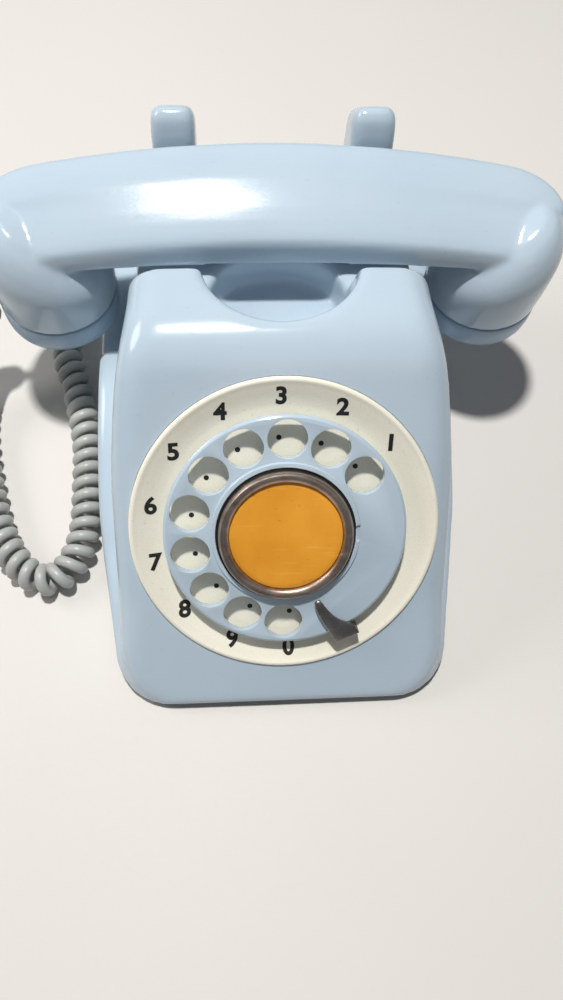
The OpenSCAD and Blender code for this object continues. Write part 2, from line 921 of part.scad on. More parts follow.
module cup_block(side) {
    hull() {
        translate([side * (cup_x - 32), 0, 0])
            handle_bar(2);
        translate([side * cup_x, handle_y - 6, cup_top_z - 4])
            cylinder(r = cap_d / 2 - 0.8, h = 14, $fn = 48);
        translate([side * (cup_x - 2), handle_y - 2, cup_top_z + 12])
            cylinder(r = cap_d / 2 - 5, h = 18, $fn = 48);
    }
}

module at_cup(side) {
    translate([side * cup_x, handle_y - 6, 0])
        children();
}

module handset_handle() {
    color([0.69, 0.77, 0.85])
    difference() {
        union() {
            hull()
                handle_bar(2 * cup_x - 60);
            for (side = [-1, 1]) {
                cup_block(side);
                at_cup(side)
                    cylinder_from(seam_z, cup_top_z + 2, cap_d / 2 - 0.4);
            }
        }
        for (side = [-1, 1])
            at_cup(side)
                cylinder_from(seam_z - 1, cup_top_z + 4, cup_bore_r);
        translate([-cup_x, handle_y - 3, handle_z + handle_t / 2 - 6])
            rotate([0, 90, 0])
                cylinder(r = 5, h = 2 * cup_x);
        rod_between(handset_exit - 8 * handset_out, handset_exit + 8 * handset_out, gland_r + slip,
            gland_r + slip);
    }
}

module handset_cap(side) {
    r = cap_d / 2;
    color([0.66, 0.74, 0.82])
    at_cup(side)
        difference() {
            rotate_extrude()
                polygon([[0, cap_z + 1.6], [r - 13, cap_z + 1], [r - 5, cap_z], [r - 2, cap_z + 1],
                    [r - 0.4, cap_z + 4], [r, cap_z + 8], [r, seam_z - 0.8], [r - 0.6, seam_z - slip],
                    [cup_bore_r, seam_z - slip], [cup_bore_r, cap_z + 4.5], [0, cap_z + 4.5]]);
            cylinder_from(cap_z - 1, seam_z, 1);
            for (a = [0:60:300])
                rotate([0, 0, a])
                    translate([6, 0, 0])
                        cylinder_from(cap_z - 1, seam_z, 1);
        }
}

module ear_cap() {
    handset_cap(1);
}

module mouth_cap() {
    handset_cap(-1);
}

module receiver_capsule() {
    z = cap_z + 4.5 + slip;
    color("dimgray")
    at_cup(1) {
        cylinder_from(z, z + 6, cup_bore_r - 0.4);
        cylinder_from(z + 6, z + 15, cup_bore_r - 5);
    }
}

module transmitter_capsule() {
    z = cap_z + 4.5 + slip;
    color("silver")
    at_cup(-1) {
        cylinder_from(z, z + 7, cup_bore_r - 0.6);
        cylinder_from(z + 7, z + 9, cup_bore_r - 7);
    }
}

module transmitter_cup() {
    z = cap_z + 4.5 + slip;
    color("ivory")
    at_cup(-1)
        translate([0, 0, z + 7 + slip])
            tube(cup_bore_r - 0.2, cup_bore_r - 6, 6);
}

// ---------- cords ----------

module handset_gland() {
    color("gray")
        rod_between(handset_exit - 3 * handset_out, handset_exit + 6 * handset_out, gland_r, gland_r - 0.6);
}

module handset_lead() {
    color([0.65, 0.66, 0.66])
        rod_between(handset_exit + (6 + fit) * handset_out, cord_route[0] - 0.6 * handset_out,
            lead_d / 2, lead_d / 2);
}

module curly_cord() {
    color([0.65, 0.66, 0.66])
        swept_tube(smooth_route(cord_route, 3), cord_d / 2, 10);
}

module body_lead() {
    last = cord_route[len(cord_route) - 1];
    d = unit(last - body_exit);
    color([0.65, 0.66, 0.66])
        rod_between(body_exit + [-5.4, 0, 0], last - 2.4 * d, lead_d / 2, lead_d / 2);
}

module body_gland() {
    color("gray")
        translate(body_exit)
            rotate([0, -90, 0]) {
                cylinder_from(-4, 0.2, lead_d / 2 + 2);
                cylinder_from(0.2, 4, lead_d / 2 + 3.2);
            }
}

module line_bush() {
    color("dimgray")
    translate([35, back_y, 14])
        rotate([-90, 0, 0])
            difference() {
                union() {
                    cylinder_from(-6, 0, line_bore_r + 3);
                    cylinder_from(-6, -wall - 0.2, line_bore_r + 4.2);
                }
                cylinder_from(-10, 10, line_bore_r);
            }
}

housing();
base_plate();
rubber_feet();
housing_screws();
number_ring();
finger_stop();
dial_frame();
dial_rear_plate();
dial_bearing();
return_spring();
pulse_contacts();
governor_cup();
finger_wheel();
centre_ring();
number_card();
dial_shaft();
main_gear();
governor_shaft();
governor_weights();
ringer_frame();
ringer_coils();
ringer_magnet();
gong_left();
gong_right();
gong_screws();
clapper();
clapper_pin();
loudness_bracket();
loudness_wheel();
circuit_board();
transformer();
capacitor();
terminal_strip();
hook_bracket();
plunger_guides();
hook_plungers();
hook_lever();
hook_pin();
hook_spring();
hook_contacts();
handset_handle();
ear_cap();
mouth_cap();
receiver_capsule();
transmitter_capsule();
transmitter_cup();
handset_gland();
handset_lead();
curly_cord();
body_lead();
body_gland();
line_bush();
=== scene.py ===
# %% [markdown]
# # A rotary telephone
# This script dresses a telephone that already exists as a plain mechanical model. The mechanical
# model is loaded as a fixed frame: every piece made here sits in the same place, in metres.

# %% Load the frame
import math
import bpy
import bmesh
from mathutils import Matrix, Vector


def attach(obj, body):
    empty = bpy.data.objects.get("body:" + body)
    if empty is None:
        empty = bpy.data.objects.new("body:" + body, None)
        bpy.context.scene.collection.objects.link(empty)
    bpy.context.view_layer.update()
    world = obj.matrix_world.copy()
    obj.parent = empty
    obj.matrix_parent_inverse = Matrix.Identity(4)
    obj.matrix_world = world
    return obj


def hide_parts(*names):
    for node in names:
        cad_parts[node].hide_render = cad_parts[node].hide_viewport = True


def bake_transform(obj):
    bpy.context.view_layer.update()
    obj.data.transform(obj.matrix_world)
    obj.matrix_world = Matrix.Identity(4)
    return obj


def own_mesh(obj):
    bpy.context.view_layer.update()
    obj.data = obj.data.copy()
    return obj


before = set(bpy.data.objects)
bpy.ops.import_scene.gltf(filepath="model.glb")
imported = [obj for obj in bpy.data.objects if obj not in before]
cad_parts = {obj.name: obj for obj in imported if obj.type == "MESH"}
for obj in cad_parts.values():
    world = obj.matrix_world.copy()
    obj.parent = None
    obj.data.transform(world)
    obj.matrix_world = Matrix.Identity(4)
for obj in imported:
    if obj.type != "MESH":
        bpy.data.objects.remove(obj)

# Blender's own start-up objects go, so that only the frame is left.
for name in ("Cube", "Light", "Camera"):
    if name in bpy.data.objects:
        bpy.data.objects.remove(bpy.data.objects[name])
bpy.context.view_layer.update()

# %% [markdown]
# ## The camera
# A wide lens close above the telephone makes its back look larger than its front. The camera could
# be aimed with a tracking constraint, but three turns say exactly how it is held: the tilt down,
# the heading, and the roll about its own line of sight.

# %% Camera
bpy.ops.object.camera_add(location=(-0.0212, -0.1745, 0.361))
camera = bpy.context.object
tilt, heading, roll = math.radians(90 - 66.52), math.radians(-8.99), math.radians(6.95)
camera.matrix_world = (Matrix.Translation(camera.location) @ Matrix.Rotation(heading, 4, "Z")
    @ Matrix.Rotation(tilt, 4, "X") @ Matrix.Rotation(roll, 4, "Z"))
camera.data.lens = 29.55
camera.data.clip_start = 0.01
bpy.context.scene.camera = camera
print("camera looks along", [round(v, 3) for v in camera.matrix_world.to_3x3() @ Vector((0, 0, -1))])

# %% [markdown]
# ## Finishes
# Every finish is made of the same few layers: two close colours mixed by soft clouds, a roughness
# that wanders, and a fine bump. Image textures could do this, but patterns made by nodes need no
# files and hold up at any distance. What differs from one finish to the next is only its numbers.

# %% Layers that the finishes share
def cloud_layer(nodes, links, place, scale, detail=4.0, distortion=0.0):
    cloud = nodes.new("ShaderNodeTexNoise")
    cloud.inputs["Scale"].default_value = scale
    cloud.inputs["Detail"].default_value = detail
    cloud.inputs["Distortion"].default_value = distortion
    links.new(place, cloud.inputs["Vector"])
    return cloud.outputs["Fac"]

def spread(nodes, links, value, low, high, to_low, to_high):
    fit = nodes.new("ShaderNodeMapRange")
    for socket, number in zip(("From Min", "From Max", "To Min", "To Max"), (low, high, to_low, to_high)):
        fit.inputs[socket].default_value = number
    links.new(value, fit.inputs["Value"])
    return fit.outputs["Result"]

def blend_colours(nodes, links, amount, first, second):
    mix = nodes.new("ShaderNodeMix")
    mix.data_type = "RGBA"
    for socket, colour in ((mix.inputs[6], first), (mix.inputs[7], second)):
        if isinstance(colour, tuple):
            socket.default_value = (*colour, 1)
        else:
            links.new(colour, socket)
    links.new(amount, mix.inputs[0])
    return mix.outputs[2]

# %% One finish from its numbers
def make_finish(name, light, dark, rough, metallic=0.0, cloud=30, grain=900, bump=0.02,
        stretch=(1, 1, 1), scratches=0.0, coat=0.0, specks=0.0):
    material = bpy.data.materials.new(name)
    material.use_nodes = True
    nodes, links = material.node_tree.nodes, material.node_tree.links
    shader = nodes["Principled BSDF"]
    shader.inputs["Metallic"].default_value = metallic
    shader.inputs["Coat Weight"].default_value = coat
    shader.inputs["Coat Roughness"].default_value = 0.12
    place = nodes.new("ShaderNodeTexCoord").outputs["Object"]
    turn = nodes.new("ShaderNodeMapping")
    turn.inputs["Scale"].default_value = stretch
    links.new(place, turn.inputs["Vector"])
    clouds = cloud_layer(nodes, links, place, cloud)
    colour = blend_colours(nodes, links, spread(nodes, links, clouds, 0.3, 0.7, 0, 1), light, dark)
    if specks:
        dust = cloud_layer(nodes, links, place, 520, 2.0)
        colour = blend_colours(nodes, links, spread(nodes, links, dust, 0.68, 0.76, 0, specks), colour,
            tuple(v * 0.35 for v in dark))
    fine = cloud_layer(nodes, links, turn.outputs["Vector"], grain, 3.0)
    gloss = spread(nodes, links, fine, 0.25, 0.75, rough[0], rough[1])
    if scratches:
        across = nodes.new("ShaderNodeMapping")
        across.inputs["Rotation"].default_value = (0.4, 0.3, 0.9)
        across.inputs["Scale"].default_value = (40, 900, 40)
        links.new(place, across.inputs["Vector"])
        lines = spread(nodes, links, cloud_layer(nodes, links, across.outputs["Vector"], 1.0, 2.0, 0.4),
            0.62, 0.72, 0, scratches)
        colour = blend_colours(nodes, links, lines, colour, tuple(min(1, v * 1.5 + 0.04) for v in light))
        add = nodes.new("ShaderNodeMath")
        links.new(gloss, add.inputs[0])
        links.new(lines, add.inputs[1])
        gloss = add.outputs[0]
    links.new(colour, shader.inputs["Base Color"])
    links.new(gloss, shader.inputs["Roughness"])
    relief = nodes.new("ShaderNodeBump")
    relief.inputs["Strength"].default_value = bump
    relief.inputs["Distance"].default_value = 0.001
    links.new(fine, relief.inputs["Height"])
    links.new(relief.outputs["Normal"], shader.inputs["Normal"])
    return material

# %% [markdown]
# ## The finishes of this telephone
# The body is moulded thermoplastic that has stayed glossy, with a little dust in it. Its maker also
# pressed and painted metal, and the works inside are plated steel, brass, nylon and varnished board.

# %% Outside finishes
finish = {}
finish["blue_plastic"] = make_finish("blue_plastic", (0.465, 0.565, 0.65), (0.425, 0.525, 0.61),
    (0.11, 0.16), cloud=14, grain=1300, bump=0.004, coat=0.1, specks=0.1, scratches=0.02)
finish["cap_plastic"] = make_finish("cap_plastic", (0.36, 0.48, 0.60), (0.32, 0.44, 0.56), (0.26, 0.36),
    cloud=30, bump=0.02, specks=0.15)
finish["cream_plastic"] = make_finish("cream_plastic", (0.86, 0.83, 0.71), (0.81, 0.78, 0.65), (0.24, 0.34),
    cloud=40, grain=1500, bump=0.015, coat=0.2, specks=0.2)
finish["orange_card"] = make_finish("orange_card", (0.84, 0.37, 0.035), (0.74, 0.30, 0.02), (0.3, 0.42),
    cloud=60, grain=700, bump=0.03, scratches=0.22, specks=0.3)
finish["ring_steel"] = make_finish("ring_steel", (0.52, 0.42, 0.35), (0.31, 0.245, 0.205), (0.3, 0.46),
    metallic=1.0, cloud=160, grain=1400, bump=0.03, scratches=0.12)
finish["stop_steel"] = make_finish("stop_steel", (0.44, 0.42, 0.39), (0.26, 0.245, 0.23), (0.22, 0.36),
    metallic=1.0, cloud=120, grain=1400, stretch=(1, 6, 1), bump=0.04, scratches=0.1)
# This black is the print of the digits and dots, and also painted shade: the same black is laid in the groove
# round the centre ring.
finish["black_ink_and_painted_shade"] = make_finish("black_ink_and_painted_shade", (0.004, 0.004, 0.004), (0.012, 0.011, 0.01), (0.55, 0.7))
finish["cord_grey"] = make_finish("cord_grey", (0.42, 0.43, 0.41), (0.36, 0.37, 0.355), (0.3, 0.42),
    cloud=70, grain=1600, bump=0.02, specks=0.25)
finish["gland_rubber"] = make_finish("gland_rubber", (0.30, 0.31, 0.31), (0.24, 0.25, 0.25), (0.5, 0.65),
    bump=0.05)
finish["black_rubber"] = make_finish("black_rubber", (0.03, 0.03, 0.03), (0.05, 0.048, 0.045),
    (0.6, 0.8), bump=0.08)

# %% Inside finishes
finish["zinc_steel"] = make_finish("zinc_steel", (0.66, 0.66, 0.62), (0.52, 0.52, 0.47), (0.28, 0.46),
    metallic=1.0, cloud=90, stretch=(1, 8, 1), bump=0.03, scratches=0.1)
finish["brass"] = make_finish("brass", (0.83, 0.63, 0.29), (0.66, 0.46, 0.18), (0.2, 0.36),
    metallic=1.0, cloud=70, stretch=(1, 1, 6), bump=0.02, scratches=0.1)
finish["spring_steel"] = make_finish("spring_steel", (0.34, 0.36, 0.40), (0.2, 0.21, 0.25), (0.25, 0.4),
    metallic=1.0, cloud=200)
finish["contact_stack"] = make_finish("contact_stack", (0.34, 0.2, 0.08), (0.22, 0.12, 0.05), (0.35, 0.5),
    cloud=150, stretch=(1, 1, 12), bump=0.06)
finish["board_resin"] = make_finish("board_resin", (0.36, 0.2, 0.075), (0.27, 0.14, 0.05), (0.3, 0.45),
    cloud=120, stretch=(6, 1, 1), bump=0.05)
finish["winding"] = make_finish("winding", (0.45, 0.09, 0.05), (0.3, 0.05, 0.03), (0.35, 0.5),
    cloud=200, grain=1800, stretch=(1, 10, 1), bump=0.12)
finish["iron"] = make_finish("iron", (0.2, 0.2, 0.21), (0.12, 0.12, 0.125), (0.4, 0.6), metallic=1.0,
    cloud=120, stretch=(1, 1, 10), bump=0.08)
finish["capsule_metal"] = make_finish("capsule_metal", (0.62, 0.62, 0.6), (0.5, 0.5, 0.48), (0.3, 0.45),
    metallic=1.0, cloud=100, scratches=0.08)
finish["white_nylon"] = make_finish("white_nylon", (0.78, 0.77, 0.72), (0.7, 0.69, 0.63), (0.35, 0.5),
    cloud=90, bump=0.03)
for name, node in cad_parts.items():
    for holder in node.material_slots:
        holder.material = finish[holder.material.name.split(".")[0]]
print(len(finish), "finishes on", len(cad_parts), "frame nodes")

# %% [markdown]
# ## Ways of making
# Three ways of making cover most of a telephone. A sheet of grid can be wrapped round a row of
# outlines, as a hull is planked. A profile can be spun round an axis, as on a lathe. A tool's shape
# can be cut from a piece, as a drill does. Each one starts from a primitive.

# %% Selecting one object
def only(piece):
    bpy.ops.object.select_all(action="DESELECT")
    piece.select_set(True)
    bpy.context.view_layer.objects.active = piece

def in_edit_mode(piece, *steps):
    only(piece)
    bpy.ops.object.mode_set(mode="EDIT")
    bpy.ops.mesh.select_mode(type="VERT")
    bpy.ops.mesh.select_all(action="SELECT")
    for step in steps:
        step()
    bpy.ops.object.mode_set(mode="OBJECT")

weld = 0.000005

def close_up():
    bpy.ops.mesh.remove_doubles(threshold=weld)
    bpy.ops.mesh.select_all(action="DESELECT")
    bpy.ops.mesh.select_non_manifold(extend=False)
    bpy.ops.mesh.fill_holes(sides=0)
    bpy.ops.mesh.select_all(action="SELECT")
    bpy.ops.mesh.normals_make_consistent(inside=False)

def settle(piece, sharp=40):
    only(piece)
    bpy.ops.object.transform_apply(location=True, rotation=True, scale=True)
    bpy.ops.object.shade_smooth_by_angle(angle=math.radians(sharp))

# %% Wrapping a grid round outlines
def wrap(name, rows):
    across, along = len(rows[0]), len(rows)
    bpy.ops.object.select_all(action="DESELECT")
    bpy.ops.mesh.primitive_grid_add(x_subdivisions=across, y_subdivisions=along - 1, size=1)
    piece = bpy.context.object
    piece.name = name
    for vertex in piece.data.vertices:
        i = round((vertex.co.x + 0.5) * across) % across
        j = round((vertex.co.y + 0.5) * (along - 1))
        vertex.co = rows[j][i]
    in_edit_mode(piece, close_up)
    return piece

# %% Spinning a profile
def turn_on_lathe(name, profile, steps=96):
    bpy.ops.object.select_all(action="DESELECT")
    bpy.ops.mesh.primitive_circle_add(vertices=len(profile), fill_type="NOTHING")
    piece = bpy.context.object
    piece.name = name
    for vertex, (radius, height) in zip(piece.data.vertices, profile):
        vertex.co = (radius, 0, height)
    def spin():
        bpy.ops.mesh.spin(steps=steps, angle=2 * math.pi, center=(0, 0, 0), axis=(0, 0, 1))
        bpy.ops.mesh.select_all(action="SELECT")
        bpy.ops.mesh.remove_doubles(threshold=weld)
        bpy.ops.mesh.dissolve_degenerate(threshold=0.000001)
        bpy.ops.mesh.select_all(action="SELECT")
        bpy.ops.mesh.normals_make_consistent(inside=False)
    in_edit_mode(piece, spin)
    return piece

# %% Cutting and finishing with modifiers
def modify(piece, kind, **settings):
    only(piece)
    modifier = piece.modifiers.new(kind.lower(), kind)
    for key, value in settings.items():
        setattr(modifier, key, value)
    bpy.ops.object.modifier_apply(modifier=modifier.name)

def cut(piece, tool):
    modify(piece, "BOOLEAN", operation="DIFFERENCE", object=tool, solver="EXACT")
    bpy.data.objects.remove(tool)

def drill(radius, low, high, at=(0, 0), sides=48, turn=None):
    bpy.ops.mesh.primitive_cylinder_add(vertices=sides, radius=radius, depth=high - low,
        location=(at[0], at[1], (low + high) / 2))
    tool = bpy.context.object
    if turn:
        tool.matrix_world = turn @ tool.matrix_world
    return tool

def join(first, *others):
    only(first)
    for other in others:
        other.select_set(True)
    bpy.ops.object.join()
    return first

def ease(a, b, x):
    u = min(1, max(0, (x - a) / (b - a)))
    return u * u * (3 - 2 * u)

mm = 0.001

# %% [markdown]
# ## The curly cord
# A handset cord is a plain lead wound on a rod and set with heat, and it stretches when the handset is
# lifted.
# A curve with a bevel could show it; here it is a mesh tube. Its middle line runs from the handset down
# to the table, round a loop and back along the body; the lead winds round it.

# %% The cord's middle line
lead_d, coil_out, coil_pitch = 5.2 * mm, 15.0 * mm, 6.9 * mm
turn_steps, ramp_steps = 18, 22
lie = coil_out / 2 + 0.2 * mm
route = [Vector(p) * mm for p in (
    (-126, 57, 56), (-131, 55, 46), (-135, 50, 34), (-138, 42, 22), (-139.5, 31, 12.5), (-139, 18, 8.5),
    (-136, 0, lie / mm), (-131, -19, lie / mm), (-125, -37, lie / mm), (-115.5, -52, lie / mm),
    (-104, -59, lie / mm), (-93.5, -53, lie / mm), (-88, -37, lie / mm), (-87.4, -12, lie / mm),
    (-89.5, 14, lie / mm), (-95, 38, lie / mm), (-101, 58, lie / mm), (-101, 74, lie / mm), (-94.5, 84, 9.5))]
handset_exit = Vector((-118, 59, 70)) * mm
body_exit = Vector((-79, 86, 11)) * mm

def smooth_through(points, steps):
    line = []
    for i in range(len(points) - 1):
        a, b = points[max(0, i - 1)], points[i]
        c, d = points[i + 1], points[min(len(points) - 1, i + 2)]
        for j in range(steps):
            u = j / steps
            line.append(0.5 * (2 * b + (c - a) * u + (2 * a - 5 * b + 4 * c - d) * u * u
                + (3 * b - a - 3 * c + d) * u ** 3))
    return line + [points[-1]]

def even_steps(line, step):
    out, carried = [line[0]], 0.0
    for a, b in zip(line, line[1:]):
        leg = (b - a).length
        while carried + leg >= step and leg > 0:
            a = a + (b - a) * ((step - carried) / leg)
            leg, carried = (b - a).length, 0.0
            out.append(a.copy())
        carried += leg
    return out + [line[-1]]

middle = even_steps(smooth_through(route, 12), coil_pitch / turn_steps)
print("middle line", round(len(middle) * coil_pitch / turn_steps, 3), "m in", len(middle), "points")

# %% The lead wound round it
coil_r = (coil_out - lead_d) / 2
across = Vector((0, 1, 0))
winding_line = []
for i, point in enumerate(middle):
    along = (middle[min(len(middle) - 1, i + 1)] - middle[max(0, i - 1)]).normalized()
    across = (across - along * across.dot(along)).normalized()
    side = along.cross(across)
    grow = min(1, i / ramp_steps, (len(middle) - 1 - i) / ramp_steps)
    angle = i * 2 * math.pi / turn_steps
    loose = 0.97 + 0.03 * math.sin(i * 0.061)
    winding_line.append(point
        + coil_r * grow * loose * (math.cos(angle) * across + math.sin(angle) * side))
down = (route[0] - handset_exit).normalized()
lead_in = [handset_exit + down * t * (route[0] - handset_exit).length for t in (0.28, 0.45, 0.62, 0.8)]
lead_out = [route[-1].lerp(body_exit + Vector((-0.0055, 0, 0)), t) for t in (0.25, 0.5, 0.75, 1.0)]
cord_line = lead_in + winding_line + lead_out
for point in cord_line:
    point.z = max(point.z, lead_d / 2)

# %% The tube along it
def tube_rows(line, radius, sides):
    rows, across = [], Vector((0, 1, 0.2)).normalized()
    for i, point in enumerate(line):
        along = (line[min(len(line) - 1, i + 1)] - line[max(0, i - 1)]).normalized()
        across = (across - along * across.dot(along)).normalized()
        side = along.cross(across)
        rows.append([point + radius * (math.cos(2 * math.pi * s / sides) * across
            + math.sin(2 * math.pi * s / sides) * side) for s in range(sides)])
    return rows

curly = wrap("curly_cord_wound", tube_rows(cord_line, lead_d / 2, 10))
settle(curly, 60)
curly.data.materials.append(finish["cord_grey"])
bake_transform(curly)
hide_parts("curly_cord", "handset_lead", "body_lead")

# %% [markdown]
# ## The housing
# The housing is one thin moulded shell. Its outline changes all the way from the low toe to the
# tall cradle, so a grid is wrapped round outlines, the finger scoop is cut, and the horns are
# joined on. A voxel remesh then makes one skin of it, and smoothing rounds the inner corners as
# the draft and radii of a mould do. Last the skin gets its wall, and the openings are cut sharp.

# %% The housing's outlines
face_w, crown_w, skirt_w, skirt_h = 136, 118, 158, 45
toe_h, face_run, crown_r, face_slope = 7, 102, 34, math.radians(43)
toe_y, back_y, base_gap = -115, 115, 3
crown_start = toe_y + face_run
crown_end = crown_start + crown_r * math.sin(face_slope)
ridge_h = toe_h + face_run * math.tan(face_slope) + crown_r * (1 - math.cos(face_slope))
ridge_y, ridge_edge, ridge_drop, trough_z = 32.5, 6, 4, 88

def corner_cut(d, r):
    return 0 if d >= r else r - math.sqrt(max(0, r * r - (r - d) ** 2))

def top_height(y):
    if y < crown_start:
        return toe_h + (y - toe_y) * math.tan(face_slope)
    if y < crown_end:
        return ridge_h - crown_r + math.sqrt(crown_r ** 2 - (crown_end - y) ** 2)
    if y < ridge_y:
        return ridge_h - corner_cut(ridge_y - y, ridge_edge)
    if y < ridge_y + ridge_drop:
        return ridge_h - ridge_edge - (ridge_h - ridge_edge - trough_z) * (y - ridge_y) / ridge_drop
    return trough_z - corner_cut(back_y - y, ridge_edge)

def housing_outline(y):
    cut_in = corner_cut(y - toe_y, 22) + corner_cut(back_y - y, 10)
    high = top_height(y)
    tall = high - base_gap
    ledge = 0.6 * toe_h + (skirt_h - 0.6 * toe_h) * ease(0, 140, y - toe_y)
    ledge = min(max(ledge, base_gap + 0.3 * tall), base_gap + 0.45 * tall)
    skirt = face_w / 2 + 2.5 + (skirt_w / 2 - face_w / 2 - 2.5) * ease(0, 90, y - toe_y) - cut_in
    upper = face_w / 2 - (face_w - crown_w) / 2 * ease(70, 145, y - toe_y) - cut_in
    s = min(4, 0.4 * (ledge - base_gap), 0.4 * (skirt - upper))
    step, rise = skirt - s - upper, high - ledge
    r = min(13, 0.5 * rise)
    half = [(0, base_gap - 1), (skirt * 0.5, base_gap - 1), (skirt, base_gap - 1), (skirt, ledge - s)]
    half += [(skirt - s + s * math.cos(a), ledge - s + s * math.sin(a)) for a in (0.4, 0.8, 1.2, 1.57)]
    half += [(upper + 0.35 * step, ledge + min(0.6, 0.1 * rise)),
        (upper + 0.1 * step, ledge + min(2.5, 0.3 * rise))]
    arc = [(upper - r + r * math.cos(math.radians(a)), high - r + r * math.sin(math.radians(a)))
        for a in range(0, 91, 6)]
    arc += [((upper - r) * t, high) for t in (0.75, 0.5, 0.25, 0)]
    bow = min(1.3, 0.1 * rise)
    half += [(x, z + 0.4 * bow - bow * (x / upper) ** 2) for x, z in arc]
    loop = half + [(-x, z) for x, z in reversed(half[1:-1])]
    return [Vector((x, y, z)) * mm for x, z in loop]

rows = [housing_outline(y) for y in [toe_y + d for d in (0, 0.3, 0.8, 1.6, 2.8, 4.5, 7, 10, 14, 18, 22)]
    + [toe_y + 22 + i * 2.5 for i in range(1, 33)] + [crown_start + i * 1.5 for i in range(0, 29)]
    + [ridge_y + d for d in (0.5, 1, 2, 3, 4, 8, 14)] + [ridge_y + 14 + i * 6 for i in range(1, 10)]
    + [back_y - d for d in (10, 8, 6, 4.5, 3, 1.8, 0.8, 0.3, 0)]]
housing = wrap("housing_shell", rows)
print("housing planks", len(rows), "outlines of", len(rows[0]))

# %% The finger scoop is cut
scoop_floor = 72.5
scoop_rows = []
for step in range(13):
    t = step / 12
    wide = 26.5 + 5 * t ** 1.3
    deep = 19 + 10.5 * t ** 1.3
    z = scoop_floor + (ridge_h + 2 - scoop_floor) * t
    scoop_rows.append([Vector((wide * math.cos(a), ridge_y + 1 + deep * math.sin(a), z)) * mm
        for a in [k * 2 * math.pi / 64 for k in range(64)]])
cut(housing, wrap("scoop_tool", scoop_rows))
print("scoop floor at", scoop_floor, "mm, crown at", round(ridge_h, 1), "mm")

# %% The horns and the rests are joined on
horn_side = [(84, 74), (86.2, 87), (87.8, 99), (89.8, 108), (91.9, 115), (94.2, 119.8), (97.2, 122.2),
    (100.5, 121.6), (111.5, 111.5), (114, 108), (114.5, 103.5), (114.5, 76)]
extras = []
for side in (-1, 1):
    horn_rows = []
    for k in range(13):
        across_horn = -1 + k / 6
        edge = 1 - abs(across_horn) ** 8
        shrink = 0.86 + 0.14 * edge if abs(across_horn) < 1 else 0.82
        centre = Vector((0, 100, 98))
        horn_rows.append([Vector((side * 41 + 9 * across_horn, centre.y + (y - centre.y) * shrink,
            centre.z + (z - centre.z) * shrink)) * mm for y, z in horn_side])
    extras.append(wrap("horn", horn_rows))
    bpy.ops.object.select_all(action="DESELECT")
    bpy.ops.mesh.primitive_cube_add(size=1, location=(side * 0.051, 0.065, 0.0895),
        scale=(0.006, 0.024, 0.0065))
    extras.append(bpy.context.object)
join(housing, *extras)

# %% One skin, smoothed
modify(housing, "REMESH", mode="VOXEL", voxel_size=0.00145)
modify(housing, "SMOOTH", factor=0.5, iterations=14)
print("skin has", len(housing.data.polygons), "faces")

def open_below():
    bpy.ops.mesh.select_all(action="DESELECT")
    edit = bmesh.from_edit_mesh(housing.data)
    doomed = [f for f in edit.faces if f.calc_center_median().z < (base_gap + 0.6) * mm]
    bmesh.ops.delete(edit, geom=doomed, context="FACES")
    bmesh.update_edit_mesh(housing.data)
in_edit_mode(housing, open_below)
modify(housing, "SOLIDIFY", thickness=0.0024, offset=-1, use_rim=True)

# %% The openings are cut sharp
dial_place = Matrix.Translation((0, -0.058, 0.060153)) @ Matrix.Rotation(face_slope, 4, "X")
cut(housing, drill(0.0612, -0.001, 0.03, sides=128, turn=dial_place))
cut(housing, drill(0.058, -0.014, 0.03, sides=128, turn=dial_place))
for side in (-1, 1):
    cut(housing, drill(0.0045, 0.07, 0.0985, at=(side * 0.038, 0.065)))
quarter = math.pi / 2
line_exit = (0.035, 0.115, 0.014)
for radius, low, place, axis in ((0.0045, -0.012, body_exit, "Y"), (0.0062, -0.008, line_exit, "X")):
    cut(housing, drill(radius, low, 0.008,
        turn=Matrix.Translation(place) @ Matrix.Rotation(quarter, 4, axis)))
settle(housing, 50)
housing.data.materials.clear()
housing.data.materials.append(finish["blue_plastic"])
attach(housing, "base")
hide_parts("housing")
print("housing", len(housing.data.polygons), "faces")

# %% [markdown]
# ## The handset
# The handset is a hollow moulding: a broad, slightly domed handle whose front face leans in
# under a soft crease, and an egg-shaped cup at each end. The handle and the cups are wrapped
# separately, made one skin by a voxel remesh, and smoothed so that they flow into each other.

# %% The handle's outlines
def handle_outline(x):
    s = min(1.35, (x / 104) ** 2)
    end = math.sqrt(max(0.0004, 1 - max(0, (abs(x) - 96) / 23) ** 2.4))
    forward, drop = -5 * s, -6.0 * s
    section = [(44.4, 93.6), (44.7, 98), (45.0, 101.5), (45.5, 103.8), (46.6, 105.5), (49, 107.1), (53, 109),
        (58, 111), (64, 113), (70, 114.8), (76, 116.2), (81, 116.9), (84.5, 116.8), (87, 115.6), (88.2, 113),
        (88.0, 107), (86.8, 99), (85, 94.4), (82, 93), (66, 92.6), (48, 92.6), (45.4, 92.8)]
    centre = (62, 102)
    points = []
    for y, z in section:
        y = y + forward * (1 if y < 66 else 1.5)
        z = z + drop * (1 if z > 98 else 0.2)
        points.append(Vector((x, centre[0] + (y - centre[0]) * end,
            centre[1] + (z - centre[1]) * (0.4 + 0.6 * end))) * mm)
    return points

handset_end = 119
near_end = (0, 0.4, 1.2, 2.5, 4.5, 7, 10, 14, 18, 23)
xs = [-handset_end + d for d in near_end] + list(range(-90, 91, 6))
xs += [handset_end - d for d in near_end[::-1]]
handset = wrap("handset_shell", [handle_outline(x) for x in xs])

# %% The cups are added
cup_x, cup_y = 94.5, 58

